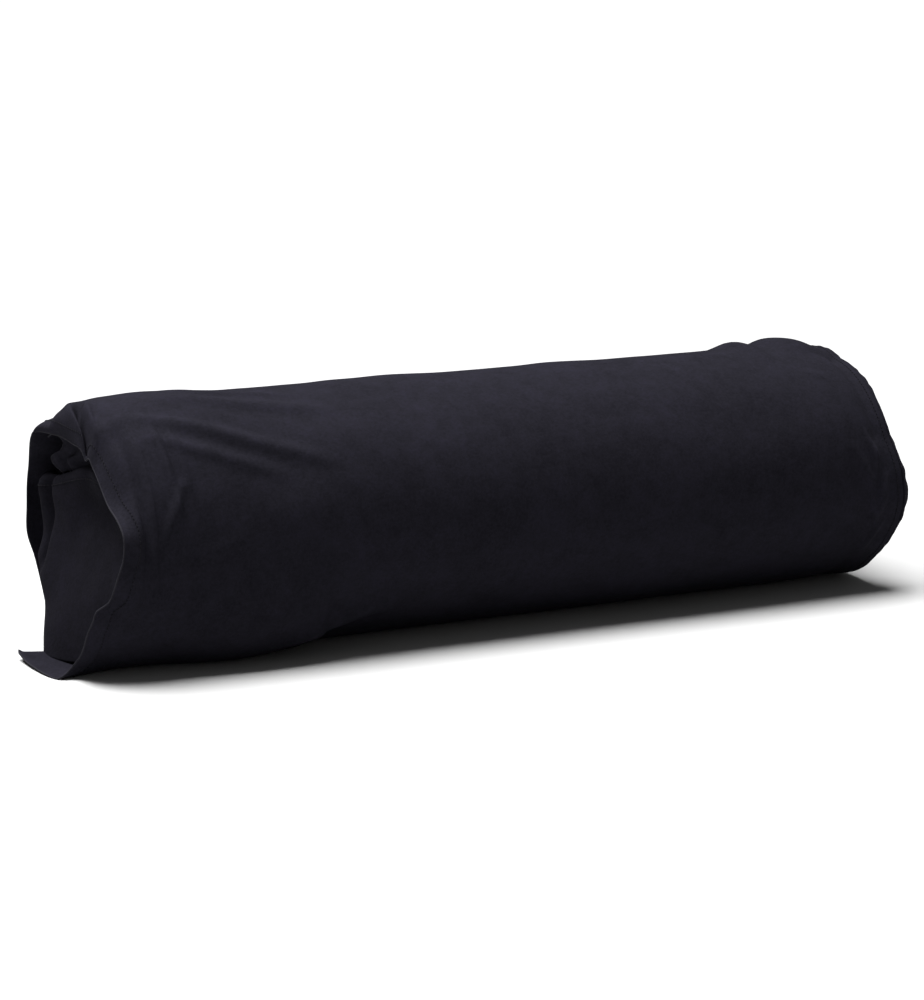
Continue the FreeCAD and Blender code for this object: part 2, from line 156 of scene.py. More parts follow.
def turn_bump(turn, middle, width):
    """A bump round the bolster, with its middle and its width in degrees."""
    return bump(turn_from(turn, middle), 0, width)


def round_turns(count):
    """Evenly spaced turns, once round, without the last one that would meet the first."""
    return np.arange(count) * 360.0 / count


class Ripple:
    """Smooth random hills and hollows, as a sum of waves whose length lies in a range."""

    def __init__(self, shortest, longest, waves=36, seed=SEED):
        draw = np.random.default_rng(seed)
        heading = draw.normal(size=(waves, 3))
        heading /= np.linalg.norm(heading, axis=1)[:, None]
        length = draw.uniform(shortest, longest, waves)
        self.numbers = heading * (2 * math.pi / length)[:, None]
        self.phase = draw.uniform(0, 2 * math.pi, waves)
        self.share = length / length.mean() * math.sqrt(2.0 / waves)

    def __call__(self, points):
        total = np.zeros(points.shape[:-1])
        for number, phase, share in zip(self.numbers, self.phase, self.share):
            total += share * np.sin(points @ number + phase)
        return total


def through(points, count, closed=False):
    """count points, evenly spaced, on a smooth curve through the given ones."""
    given = np.asarray(points, float)
    ends = (given[-1:], given[:2]) if closed else (2 * given[:1] - given[1:2], 2 * given[-1:] - given[-2:-1])
    knots = np.concatenate([ends[0], given, ends[1]])
    fine = []
    for a, b, c, e in zip(knots, knots[1:], knots[2:], knots[3:]):
        t = np.linspace(0, 1, 24, endpoint=False)[:, None]
        fine.append(0.5 * (2 * b + (c - a) * t + (2 * a - 5 * b + 4 * c - e) * t**2
                           + (3 * b - a - 3 * c + e) * t**3))
    fine = np.concatenate(fine + ([given[:1]] if closed else [given[-1:]]))
    along = np.concatenate([[0], np.cumsum(np.linalg.norm(np.diff(fine, axis=0), axis=1))])
    at = np.linspace(0, along[-1], count, endpoint=not closed)
    return np.stack([np.interp(at, along, fine[:, k]) for k in range(fine.shape[1])], axis=1)


# --- materials ------------------------------------


class Nodes:
    """A new material and short ways to add its nodes."""

    def __init__(self, name):
        self.material = bpy.data.materials.new(name)
        self.material.use_nodes = True
        self.tree = self.material.node_tree
        self.shader = self.tree.nodes["Principled BSDF"]
        self.place = self.add("ShaderNodeTexCoord").outputs["Object"]

    def add(self, kind, **settings):
        node = self.tree.nodes.new(kind)
        for key, value in settings.items():
            setattr(node, key, value)
        return node

    def link(self, start, end):
        self.tree.links.new(start, end)

    def noise(self, per_metre, detail=3.0, roughness=0.55, place=None):
        """Noise with this many lumps in a metre."""
        texture = self.add("ShaderNodeTexNoise")
        texture.inputs["Scale"].default_value = per_metre
        texture.inputs["Detail"].default_value = detail
        texture.inputs["Roughness"].default_value = roughness
        self.link(self.place if place is None else place, texture.inputs["Vector"])
        return texture.outputs["Fac"]

    def scaled_place(self, scale):
        """The place multiplied along each axis: a pattern looks longer where the scale is below 1."""
        mapping = self.add("ShaderNodeMapping")
        mapping.inputs["Scale"].default_value = scale
        self.link(self.place, mapping.inputs["Vector"])
        return mapping.outputs["Vector"]

    def ramp(self, value, *stops):
        node = self.add("ShaderNodeValToRGB")
        elements = node.color_ramp.elements
        while len(elements) < len(stops):
            elements.new(0.5)
        for element, (position, colour) in zip(elements, stops):
            element.position = position
            element.color = (*colour, 1.0)
        self.link(value, node.inputs["Fac"])
        return node.outputs["Color"]

    def math(self, operation, a, b):
        node = self.add("ShaderNodeMath", operation=operation)
        for socket, value in zip(node.inputs, (a, b)):
            if isinstance(value, (int, float)):
                socket.default_value = value
            else:
                self.link(value, socket)
        return node.outputs["Value"]

    def bump(self, height, distance, strength=1.0, under=None):
        node = self.add("ShaderNodeBump")
        node.inputs["Strength"].default_value = strength
        node.inputs["Distance"].default_value = distance * MM
        self.link(height, node.inputs["Height"])
        if under is not None:
            self.link(under, node.inputs["Normal"])
        return node.outputs["Normal"]

    def set(self, **sockets):
        for name, value in sockets.items():
            self.shader.inputs[name.replace("_", " ")].default_value = value

    def colour(self, output):
        self.link(output, self.shader.inputs["Base Color"])

    def rough(self, output):
        self.link(output, self.shader.inputs["Roughness"])

    def normal(self, output):
        self.link(output, self.shader.inputs["Normal"])


def shade(colour, factor):
    return tuple(c * factor for c in colour)


CLOTH = (0.0108, 0.0103, 0.0142)


def brushed_cloth(name, tone=1.0):
    """Matt near-black brushed cloth: a nap rubbed in cloudy patches, with specks, over a fine weave. A tone
    below 1 darkens the whole colour, as painted shade.
    """
    n = Nodes(name)
    clouds = n.noise(11.0, detail=4.0, roughness=0.6)
    patches = n.noise(70.0, detail=5.0, roughness=0.68)
    fuzz = n.noise(900.0, detail=2.0, roughness=0.7)
    specks = n.noise(380.0, detail=3.0, roughness=0.75)
    mixed = n.math("ADD", n.math("MULTIPLY", clouds, 0.26), n.math("MULTIPLY", patches, 0.34))
    mixed = n.math("ADD", mixed, n.math("MULTIPLY", specks, 0.4))
    base = shade(CLOTH, tone)
    lilac = tuple(c * k for c, k in zip(base, (1.22, 1.20, 1.29)))
    n.colour(n.ramp(mixed, (0.38, shade(base, 0.72)), (0.5, base), (0.61, lilac)))
    n.rough(n.ramp(patches, (0.3, (0.86,) * 3), (0.7, (0.98,) * 3)))
    weave = n.add("ShaderNodeTexWave", wave_type="BANDS", bands_direction="X")
    weave.inputs["Scale"].default_value = 330.0
    weave.inputs["Distortion"].default_value = 3.0
    weave.inputs["Detail"].default_value = 1.0
    n.link(n.place, weave.inputs["Vector"])
    under = n.bump(weave.outputs["Fac"], 0.10, 0.25)
    under = n.bump(fuzz, 0.30, 0.5, under)
    under = n.bump(specks, 0.5, 0.5, under)
    n.normal(n.bump(patches, 1.3, 0.5, under))
    n.set(Sheen_Weight=0.006, Sheen_Roughness=0.5, Sheen_Tint=(0.52, 0.50, 0.62, 1.0))
    n.set(Specular_IOR_Level=0.012)
    return n.material


def thread(name, colour):
    """Twisted sewing thread."""
    n = Nodes(name)
    twist = n.noise(2600.0, detail=1.0)
    n.colour(n.ramp(twist, (0.35, shade(colour, 0.6)), (0.65, shade(colour, 1.5))))
    n.normal(n.bump(twist, 0.12, 0.6))
    n.set(Roughness=0.85, Specular_IOR_Level=0.08)
    return n.material


def vinyl(name):
    """Black upholstery vinyl with a pebbled grain and faint smudges of wear."""
    n = Nodes(name)
    cells = n.add("ShaderNodeTexVoronoi", feature="DISTANCE_TO_EDGE")
    cells.inputs["Scale"].default_value = 620.0
    n.link(n.place, cells.inputs["Vector"])
    grain = n.ramp(cells.outputs["Distance"], (0.0, (0.0,) * 3), (0.22, (1.0,) * 3))
    smudge = n.noise(22.0, detail=5.0)
    n.colour(n.ramp(smudge, (0.3, (0.010, 0.010, 0.011)), (0.7, (0.017, 0.017, 0.019))))
    n.rough(n.ramp(smudge, (0.3, (0.36,) * 3), (0.7, (0.52,) * 3)))
    n.normal(n.bump(grain, 0.16, 0.55, n.bump(smudge, 0.5, 0.2)))
    n.set(Specular_IOR_Level=0.45, Coat_Weight=0.08, Coat_Roughness=0.3)
    return n.material


def foam(name):
    """Cream open-cell foam, full of tiny pores."""
    n = Nodes(name)
    pores = n.add("ShaderNodeTexVoronoi", feature="F1")
    pores.inputs["Scale"].default_value = 780.0
    n.link(n.place, pores.inputs["Vector"])
    clouds = n.noise(9.0, detail=4.0)
    n.colour(n.ramp(clouds, (0.3, (0.62, 0.52, 0.31)), (0.7, (0.76, 0.68, 0.47))))
    n.normal(n.bump(pores.outputs["Distance"], 0.5, 0.6))
    n.set(Roughness=0.95, Specular_IOR_Level=0.15)
    return n.material


def wadding(name):
    """Loose white polyester fibre."""
    n = Nodes(name)
    fibres = n.noise(420.0, detail=6.0, roughness=0.75, place=n.scaled_place((0.35, 1, 1)))
    n.colour(n.ramp(fibres, (0.3, (0.68, 0.68, 0.66)), (0.65, (0.9, 0.9, 0.88))))
    n.normal(n.bump(fibres, 1.2, 0.7))
    n.set(Roughness=1.0, Sheen_Weight=0.4, Sheen_Roughness=0.6, Specular_IOR_Level=0.1)
    return n.material


def tape_weave(name):
    """Herringbone zip tape."""
    n = Nodes(name)
    weave = n.add("ShaderNodeTexWave", wave_type="BANDS", bands_direction="DIAGONAL")
    weave.inputs["Scale"].default_value = 420.0
    weave.inputs["Distortion"].default_value = 1.5
    n.link(n.place, weave.inputs["Vector"])
    n.colour(n.ramp(weave.outputs["Fac"], (0.2, (0.012, 0.012, 0.013)), (0.8, (0.030, 0.030, 0.033))))
    n.normal(n.bump(weave.outputs["Fac"], 0.15, 0.6))
    n.set(Roughness=0.85, Sheen_Weight=0.2, Sheen_Roughness=0.5, Specular_IOR_Level=0.2)
    return n.material


def coil_plastic(name):
    """Black polyester coil, dulled by a little dust."""
    n = Nodes(name)
    dust = n.noise(240.0, detail=3.0)
    n.colour(n.ramp(dust, (0.35, (0.018, 0.018, 0.020)), (0.7, (0.034, 0.034, 0.037))))
    n.rough(n.ramp(dust, (0.3, (0.30,) * 3), (0.7, (0.48,) * 3)))
    n.set(Specular_IOR_Level=0.5)
    return n.material


def enamel(name):
    """Satin black enamel, rubbed a little thin."""
    n = Nodes(name)
    rub = n.noise(700.0, detail=5.0, roughness=0.7)
    n.colour(n.ramp(rub, (0.55, (0.020, 0.020, 0.021)), (0.78, (0.075, 0.072, 0.068))))
    n.rough(n.ramp(rub, (0.4, (0.30,) * 3), (0.75, (0.50,) * 3)))
    n.normal(n.bump(rub, 0.03, 0.4))
    n.set(Metallic=0.75, Specular_IOR_Level=0.5)
    return n.material


cover_cloth = brushed_cloth("cover_cloth")
# The flap's colour is darkened to 0.6 of the cover's: painted shade for the shadow that the hood and the near
# side cast on the flap.
flap_cloth_painted_shade = brushed_cloth("flap_cloth_painted_shade", tone=0.6)
cover_thread = thread("cover_thread", (0.0062, 0.0059, 0.0080))
# The edge thread is paler than the cloth: painted highlight for the light line along the cloth's cut edges.
edge_thread_painted_highlight = thread("edge_thread_painted_highlight", (0.0128, 0.0123, 0.0162))
casing_vinyl = vinyl("casing_vinyl")
casing_thread = thread("casing_thread", (0.020, 0.020, 0.022))


def finish_piece(piece, material, slot, body, *nodes):
    """Gives a piece its material and its body, and hides the CAD nodes that it stands for. The slot is not
    used.
    """
    piece.data.materials.clear()
    piece.data.materials.append(material)
    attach(piece, body)
    if nodes:
        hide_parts(*nodes)
    return piece


# --- sections round the axis ----------------------


def outline_reach(turn, radius, corner, height):
    """How far a round outline with a pressed flat is from its axis, which is height above the flat.

    The corner is the radius of the outline's two lower corners.
    """
    angle = np.radians(turn)
    across, up = np.cos(angle), np.sin(angle)
    side = radius - corner
    drop = corner - height
    wall = radius / np.maximum(np.abs(across), 1e-6)
    floor = height / np.maximum(-up, 1e-6)
    along_ray = side * np.abs(across) + drop * up
    inside = along_ray**2 - side**2 - drop**2 + corner**2
    rounded = along_ray + np.sqrt(np.maximum(inside, 0))
    lower = np.where(wall * up > drop, wall, np.where(floor * np.abs(across) < side, floor, rounded))
    return np.where(up >= 0, radius, lower)


def section_point(x, turn, reach):
    """The point at x that is as far as reach from the axis."""
    x, turn, reach = np.broadcast_arrays(x, turn, reach)
    angle = np.radians(turn)
    return np.stack([x, reach * np.cos(angle), AXIS_Z + reach * np.sin(angle)], axis=-1)


def along(x, stops):
    """A value that passes smoothly through the stops, each (x, value)."""
    fine = through(stops, 200)
    return np.interp(x, fine[:, 0], fine[:, 1])


def disc_piece(name, rings):
    """Rings of points from the rim inwards, closed by a point in the middle."""
    count, turns = rings.shape[:2]
    faces = grid_faces(count, turns, wrap=True)
    last = (count - 1) * turns
    faces += [(last + c, last + (c + 1) % turns, count * turns) for c in range(turns)]
    points = np.concatenate([rings.reshape(-1, 3), [rings[-1].mean(axis=0)]])
    return add_mesh(name, points, faces)


# The pitch, the length and the thread's half thickness of the stitches in each kind of sewing.
COVER_STITCH = (3.2, 2.5, 0.4)
CASING_STITCH = (3.6, 2.8, 0.42)
ZIP_STITCH = (3.0, 2.4, 0.36)

TO_MOUTH = np.array([-1.0, 0, 0])


def stitches(name, path, normals, pitch, length, radius):
    """A row of separate stitches along a path, each bowed up a little from the cloth."""
    sides = 6
    stations = np.array([-0.5, -0.36, 0.0, 0.36, 0.5])
    fat = np.array([0.35, 0.85, 1.0, 0.85, 0.35])
    steps = np.concatenate([[0], np.cumsum(np.linalg.norm(np.diff(path, axis=0), axis=1))])
    centres = np.arange(pitch / 2, steps[-1], pitch)
    points, faces = [], []
    for centre in centres:
        at = centre + stations * length
        line = np.stack([np.interp(at, steps, path[:, k]) for k in range(3)], axis=1)
        up = np.array([np.interp(centre, steps, normals[:, k]) for k in range(3)])
        up /= np.linalg.norm(up)
        side = np.cross(line[-1] - line[0], up)
        side /= np.linalg.norm(side)
        line = line + up * (fat * radius * 0.7)[:, None]
        first = len(points)
        for middle, size in zip(line, fat * radius):
            for k in range(sides):
                angle = 2 * math.pi * k / sides
                points.append(middle + size * (math.cos(angle) * side + math.sin(angle) * up))
        faces += [tuple(first + i for i in f) for f in grid_faces(len(stations), sides, wrap=True)]
        faces.append(tuple(first + k for k in reversed(range(sides))))
        faces.append(tuple(first + (len(stations) - 1) * sides + k for k in range(sides)))
    return add_mesh(name, points, faces)


def tube(name, path, radius, sides=5):
    """A round thread along an open path."""
    forward = np.gradient(path, axis=0)
    forward /= np.linalg.norm(forward, axis=1)[:, None]
    slanted = [0.31, 0.17, 0.93]  # no thread here runs this way
    side = np.cross(forward, slanted)
    side /= np.linalg.norm(side, axis=1)[:, None]
    up = np.cross(side, forward)
    angle = np.arange(sides) * 2 * math.pi / sides
    grid = (path[:, None] + radius * (np.cos(angle)[:, None] * side[:, None]
                                      + np.sin(angle)[:, None] * up[:, None]))
    return grid_piece(name, grid, wrap=True)


# --- the cover: sleeve, end panel and their sewing ---

CLOTH_THICK = 1.2
HEM_THICK = 1.35
HEM_DEPTH = 14.0
COLUMNS = 216
BODY_ROWS = 156
OVERHANG_ROWS = 22
SEAM_X = END_SEAM_X + 2.0
SEAM_ALLOWANCE = 6.0
HEM_SMOOTHING = 12  # how many times the normals along the hem's sewing are evened out
SIDE_SEAM_TURN = 281.5
SHOULDER_DEPTH = 12.5  # how far the bolster's far end is rounded off at its rim
SHOULDER_LENGTH = 14.0

# The radius of the sleeve's lower corners along it: tight where the slack hangs, wide where it is round.
CORNER_ALONG = [(-330, 76), (-298, 74), (-240, 56), (-200, 62), (-160, 78), (-110, 93), (400, 95)]

BUMP_X = 274.0  # a small ridge over the top, near the far end

# Folds in the sleeve: from (x, turn) to (x, turn), height (below zero for a hollow) and half-width.
FOLDS = [
    (-316, 112, -150, 148, 4.6, 6),
    (-306, 126, -190, 152, 3.0, 5),
    (-290, 100, -130, 120, 3.4, 7),
    (-270, 92, -150, 104, 2.4, 5),
    (-296, 112, -285, 186, 5.0, 3.2),
    (-284, 118, -271, 184, 4.0, 3.8),
    (-310, 182, -280, 148, 5.0, 4),
    (-300, 184, -225, 176, 2.6, 7),
    (-214, 247, -90, 226, -16.0, 10),
    (-236, 233, -96, 212, 7.0, 8),
    (-250, 214, -150, 206, 1.6, 12),
    (-60, 232, 80, 236, -2.0, 12),
    (150, 232, 330, 234, -3.0, 12),
    (-140, 98, 30, 112, 1.2, 16),
    (50, 142, 260, 150, -0.9, 22),
    (-60, 176, 140, 190, 0.8, 24),
    (282, 66, 352, 104, 6.0, 20),
    (BUMP_X - 4, 62, BUMP_X + 6, 112, 5.5, 9),
    (BUMP_X + 22, 60, BUMP_X + 25, 112, -4.0, 6),
    (318, 205, 368, 226, 2.0, 8),
    (338, 148, 346, 170, 4.5, 3),
    (348, 160, 343, 182, 4.0, 2.6),
    (331, 168, 341, 186, 3.6, 3),
    (353, 176, 345, 198, 4.2, 2.8),
    (336, 184, 346, 204, 3.4, 3),
    (324, 160, 332, 174, 2.6, 3.5),
    (350, 200, 341, 218, 3.2, 3),
    (304, 118, 344, 134, 2.4, 4),
]


def shoulder(x):
    """How far the bolster's far end is rounded off at x."""
    return SHOULDER_DEPTH * np.exp(-np.maximum(BOLSTER_FAR_X - x, 0) / SHOULDER_LENGTH)


slow_ripple = Ripple(100, 260)
quick_ripple = Ripple(30, 80, seed=SEED + 1)


def folds(x, turn):
    """The height of all the FOLDS together."""
    arc = math.radians(COVER_RADIUS)
    total = np.zeros(np.shape(x))
    for x_from, turn_at, x_to, turn_to, height, half_width in FOLDS:
        run = np.array([x_to - x_from, (turn_to - turn_at) * arc])
        dx, dy = x - x_from, turn_from(turn, turn_at) * arc
        t = np.clip((dx * run[0] + dy * run[1]) / (run @ run), 0, 1)
        aside = np.hypot(dx - t * run[0], dy - t * run[1])
        total += height * np.sin(math.pi * t) ** 0.7 * bump(aside, 0, half_width)
    return total


def seam_pucker(turn):
    """Small uneven gathers round a seam."""
    angle = np.radians(turn)
    return np.sin(31 * angle + 2 * np.sin(3 * angle)) + 0.6 * np.sin(47 * angle + 1.5 * np.sin(5 * angle))


def sleeve_surface(x, turn):
    """The middle of the cloth where it goes round the bolster."""
    plain = outline_reach(turn, COVER_RADIUS, along(x, CORNER_ALONG), AXIS_Z)
    at = section_point(x, turn, plain)
    # The cloth is free to wrinkle where it isn't pressed on the surface below.
    free = smooth_step(0, 30, at[..., 2])
    slack = 1.1 * slow_ripple(at) + 0.35 * quick_ripple(at) + folds(x, turn)
    # It stands proud over the top by the mouth, and puckers towards the far seam.
    proud = 3.0 * turn_bump(turn, 95, 40) * bump(x, -262, 60)
    pucker = 0.25 * seam_pucker(turn) * smooth_step(345, SEAM_X, x)
    # It slumps at the far seam's upper near side, and is drawn in low on the near side before it.
    slump = smooth_step(312, SEAM_X, x) * (1.0 + 27.0 * turn_bump(turn, 130, 33))
    lift = 4.0 * turn_bump(turn, 246, 18) * smooth_step(130, 280, x) * smooth_step(372, 320, x)
    reach = plain - CLOTH_THICK / 2 + free * (slack + proud + pucker) - slump - lift
    # It never goes inside the casing.
    bolster_reach = outline_reach(turn, CASING_RADIUS, CASING_CORNER, CASING_FLAT) - shoulder(x)
    tight = bolster_reach + CLOTH_THICK / 2 + 0.5 + 0.06 * shoulder(x)
    reach = tight + soft_floor(reach - tight, 0.5)
    made = section_point(x, turn, reach)
    # The far seam stands further out on the near side.
    made[..., 0] += 9.0 * smooth_step(300, SEAM_X, x) * turn_bump(turn, 194, 32)
    made[..., 2] = np.maximum(made[..., 2], CLOTH_THICK / 2)
    return made


def outward(x, turn):
    """The direction straight out from the axis."""
    angle = np.radians(turn)
    return np.stack(np.broadcast_arrays(0 * x, np.cos(angle), np.sin(angle)), axis=-1)


def crowded(low, high, count, hills, closed=False):
    """Places from low to high that lie closer together near each hill of (place, share, half-width)."""
    fine = np.linspace(low, high, 1200)
    crowd = 1 + sum(share * bump(fine, place, width) for place, share, width in hills)
    total = np.concatenate([[0], np.cumsum(crowd[:-1])])
    return np.interp(np.linspace(0, total[-1], count, endpoint=not closed), total, fine)


def column_turns():
    """The turn of each column of the sleeve, closer together at the knot and the near side."""
    return crowded(0, 360, COLUMNS, [(88, 1.6, 34), (208, 0.9, 30)], closed=True)


def row_places():
    """Where each of the sleeve's rows is, closer together at its two ends."""
    return crowded(BOLSTER_END_X, SEAM_X, BODY_ROWS, [(-290, 1.0, 30), (355, 2.2, 24)])[::-1]


# The mouth's hem, from the near side over the top and round: turn, then x, y, z.
MOUTH_HEM = [
    (180, -335, -103, 101),
    (172, -334, -101, 116),
    (163, -334, -90, 127),
    (151, -334, -71, 137),
    (139, -334, -55, 148),
    (124, -334, -39, 160),
    (108, -334, -22, 168),
    (88, -335, 8, 172),
    (64, -337, 38, 174),
    (42, -341, 79, 170),
    (22, -339, 97, 138),
    (6, -339, 101, 111),
    (-9, -339, 101, 85),
    (-21, -333, 100, 62),
    (-36, -331, 88, 36),
    (-50, -334, 66, 13),
    (-57, -341, 50, 5),
    (-64, -347, 34, 1.2),
    (-70, -355, 20, 0.8),
    (-74, -366, 17, 1.6),
    (-77, -377, 24, 7.0),
    (-84, -378, 6, 3.5),
    (-92, -378, -10, 2.5),
    (-106, -376, -35, 1.2),
    (-115, -371, -52, 1.2),
    (-122, -361, -57, 11),
    (-132, -358, -69, 24),
    (-142, -357, -79, 39),
    (-150, -355, -86, 50),
    (-155, -353, -89, 58),
    (-158, -348, -92, 62),
    (-162, -343, -95, 68),
    (-173, -339, -102, 88),
]

# Soft folds of the hood, each at a turn, with its half-width in degrees and its height.
HOOD_FOLDS = [(50, 6, 2.5), (36, 5, -2.5), (62, 4, -2.0), (112, 6, 2.0),
              (124, 5, -1.5), (150, 7, -1.2), (192, 6, 1.0), (10, 8, 1.5)]


def hem_points(turns):
    """The hem's point at each turn, from a smooth closed curve through the listed ones."""
    once = np.array(MOUTH_HEM, float)
    shift = np.array([360.0, 0, 0, 0])
    fine = through(np.concatenate([once + shift, once, once - shift]), 2400)
    return np.stack([np.interp(turns % 360.0, fine[::-1, 0], fine[::-1, k]) for k in (1, 2, 3)], axis=1)


def overhang(rim, turns):
    """Rows of points from the bolster's rim out to the hem: a hood at the top, a lip at the bottom."""
    hem = hem_points(turns)
    hood = turn_bump(turns, 66, 52)[:, None]
    t = np.linspace(0, 1, OVERHANG_ROWS)[1:, None, None]
    out = rim + np.array([-9.0, 0, 0]) + hood * np.array([-24.0, 0, -2.5])
    inward = hem + (rim - hem) * (0.3 + 0.25 * hood)
    inward[:, 0] = hem[:, 0] + 9.0 - 17.0 * hood[:, 0]
    grid = (1 - t) ** 3 * rim + 3 * (1 - t) ** 2 * t * out + 3 * (1 - t) * t**2 * inward + t**3 * hem
    return grid + mouth_creases(grid, t[..., 0], turns)


def mouth_creases(grid, t, turns):
    """Moves for the overhang's points: the deep pleat beside the knot and the slack's small folds."""
    towards = grid - np.array([BOLSTER_END_X - 20.0, 0, AXIS_Z])
    towards /= np.linalg.norm(towards, axis=-1)[..., None]
    # The deep pleat runs from its turn at the bolster's rim to another at the hem, a ridge on each side.
    groove = 82 + 26 * smooth_step(0.15, 0.85, t)
    open_out = smooth_step(0.08, 0.4, t) * (1 - 0.75 * smooth_step(0.65, 1.0, t))
    move = -20.0 * turn_bump(turns, groove, 3.4) * open_out
    move += 6.0 * turn_bump(turns, groove + 8, 4.5) * open_out
    move += 3.0 * turn_bump(turns, groove - 9, 5.0) * open_out
    # On the upper near side a hollow lies between two ridges, just past the bolster's rim.
    hollow = 1.5 * bump(t, 0.05, 0.1) - 4.0 * bump(t, 0.3, 0.09) + 1.8 * bump(t, 0.55, 0.1)
    move = move + turn_bump(turns, 155, 42) * hollow
    for middle, width, height in HOOD_FOLDS:
        move = move + height * turn_bump(turns, middle, width) * np.sin(math.pi * t) ** 0.8
    loose = smooth_step(0.1, 0.7, t) * smooth_step(0, 22, grid[..., 2])
    wander = loose * (1.3 * slow_ripple(grid) + 0.7 * quick_ripple(grid))
    return towards * (move + wander)[..., None]


def grid_normals(grid, inside):
    """Normals of a closed grid's points, all on the side away from a point inside."""
    across = np.roll(grid, -1, axis=1) - np.roll(grid, 1, axis=1)
    normals = np.cross(across, np.gradient(grid, axis=0))
    normals /= np.linalg.norm(normals, axis=-1)[..., None]
    flip = np.sign(np.sum(normals * (grid - inside), axis=-1))
    return normals * flip[..., None]


def sleeve():
    """The sleeve, its grid of points, and how far each point is from the hem along the cloth."""
    turns = column_turns()
    body = sleeve_surface(*np.meshgrid(row_places(), turns, indexing="ij"))
    grid = np.concatenate([seam_allowance(body[0], -SEAM_ALLOWANCE), body, overhang(body[-1], turns)])
    piece = grid_piece("sleeve", grid, wrap=True)
    from_hem = np.concatenate([np.cumsum(np.linalg.norm(np.diff(grid[::-1], axis=0), axis=2), axis=0)[::-1],
                               np.zeros((1, COLUMNS))])
    doubled = piece.vertex_groups.new(name="hem")
    for index, depth in enumerate(from_hem.ravel()):
        doubled.add([index], 1.0 if depth < HEM_DEPTH else CLOTH_THICK / HEM_THICK, "REPLACE")
    cloth = solidify(piece, HEM_THICK)
    cloth.vertex_group = "hem"
    subdivide(piece)
    apply_modifiers(piece)
    return piece, grid, from_hem


def seam_allowance(rim, shift):
    """A narrow row of cloth turned in from a seam, towards the middle of the end."""
    middle = np.array([0, 0, AXIS_Z])
    turned = middle + (rim - middle) * (1 - abs(shift) / COVER_RADIUS)
    turned[:, 0] = rim[:, 0] + shift * 0.2
    return turned[None]


def hem_path(grid, from_hem, depth):
    """The points of the sleeve at a depth from the hem, with their normals, as a closed path."""
    normals = grid_normals(grid, np.array([BOLSTER_END_X - 5.0, 0, AXIS_Z]))
    path, up = [], []
    for c in range(COLUMNS):
        depths = from_hem[::-1, c]
        path.append([np.interp(depth, depths, grid[::-1, c, k]) for k in range(3)])
        up.append([np.interp(depth, depths, normals[::-1, c, k]) for k in range(3)])
    up = np.array(up)
    for _ in range(HEM_SMOOTHING):
        up = (np.roll(up, 1, axis=0) + 2 * up + np.roll(up, -1, axis=0)) / 4
    return np.array(path + path[:1]), np.concatenate([up, up[:1]])


def cover_sewing(name, node, path, up):
    made = stitches(name, path, up, *COVER_STITCH)
    return finish_piece(made, cover_thread, "cover_thread", "cover", node)


def end_seam():
    """The sewing round the far end, on the outside of the sleeve."""
    turns = np.linspace(0, 360, 361)
    x = np.full_like(turns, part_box("end_seam_stitching")[0][0] / MM)
    up = outward(x, turns)
    path = sleeve_surface(x, turns) + up * CLOTH_THICK / 2
    return cover_sewing("sleeve_end_stitches", "end_seam_stitching", path, up)


def side_seam():
    """The sewing along the sleeve, on the inside of its underside."""
    x = np.linspace(-300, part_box("side_seam_stitching")[1][0] / MM, 240)
    turns = np.full_like(x, SIDE_SEAM_TURN)
    up = outward(x, turns)
    path = sleeve_surface(x, turns) - up * CLOTH_THICK / 2
    return cover_sewing("sleeve_long_stitches", "side_seam_stitching", path, -up)


def cover():
    """The whole cover but its flap: the pieces of it."""
    piece, grid, from_hem = sleeve()
    panel = end_panel(grid[1])
    path, up = hem_path(grid, from_hem, HEM_DEPTH - 1.5)
    mouth = cover_sewing("sleeve_hem_stitches", "mouth_hem_stitching", path + up * HEM_THICK / 2, up)
    edge = overlocked_edge("sleeve_edge", np.concatenate([grid[-1], grid[-1, :1]]))
    end = end_seam()
    side = side_seam()
    finish_piece(piece, cover_cloth, "cover_cloth", "cover", "cover_sleeve")
    finish_piece(panel, cover_cloth, "cover_cloth", "cover", "cover_end_panel")
    # The panel is cut as a circle a little wider than the cover, for its seam.
    return [piece, panel, mouth, end, side, edge]


def overlocked_edge(name, path):
    """The thread-bound edge of the cover's cloth, a little paler than its face as painted highlight along the
    edge.
    """
    piece = tube(name, path, 0.75, sides=8)
    return finish_piece(piece, edge_thread_painted_highlight, "cover_thread", "cover")


# How far the end panel stands out from its seam, at each share of the way from its middle to the seam,
# and the shares where its rings of points are.
PANEL_BULGE = [(0.0, 15.0), (0.45, 15.5), (0.7, 14.5), (0.86, 11.5), (0.95, 6.5), (1.0, 0.0)]
PANEL_RINGS = [1.0, 0.985, 0.965, 0.94, 0.91, 0.87, 0.82, 0.76, 0.69, 0.6, 0.5, 0.39, 0.27, 0.14]


def end_panel(rim):
    """The puckered cloth over the far end, sewn to the sleeve's rim."""
    middle = rim.mean(axis=0)
    share = np.array(PANEL_RINGS)[:, None, None]
    rings = middle + (rim - middle) * share
    turns = np.degrees(np.arctan2(rim[:, 2] - AXIS_Z, rim[:, 1]))
    pucker = 0.4 * seam_pucker(turns) * bump(share[..., 0], 0.95, 0.07)
    creases = (1.6 * quick_ripple(rings) + 2.0 * slow_ripple(rings)) * smooth_step(1.0, 0.85, share[..., 0])
    dent = 1 - 0.4 * turn_bump(turns, 150, 20)
    rings[..., 0] += along(share[..., 0], PANEL_BULGE) * dent + pucker + creases
    rings[..., 2] = np.maximum(rings[..., 2], CLOTH_THICK / 2)
    rings[0] = rim + np.array([CLOTH_THICK, 0, 0])
    rings = np.concatenate([seam_allowance(rings[0], SEAM_ALLOWANCE * 0.8) - [2 * CLOTH_THICK, 0, 0], rings])
    panel = disc_piece("end_panel", rings)
    solidify(panel, CLOTH_THICK)
    apply_modifiers(panel)
    return panel


# --- the tuck flap --------------------------------

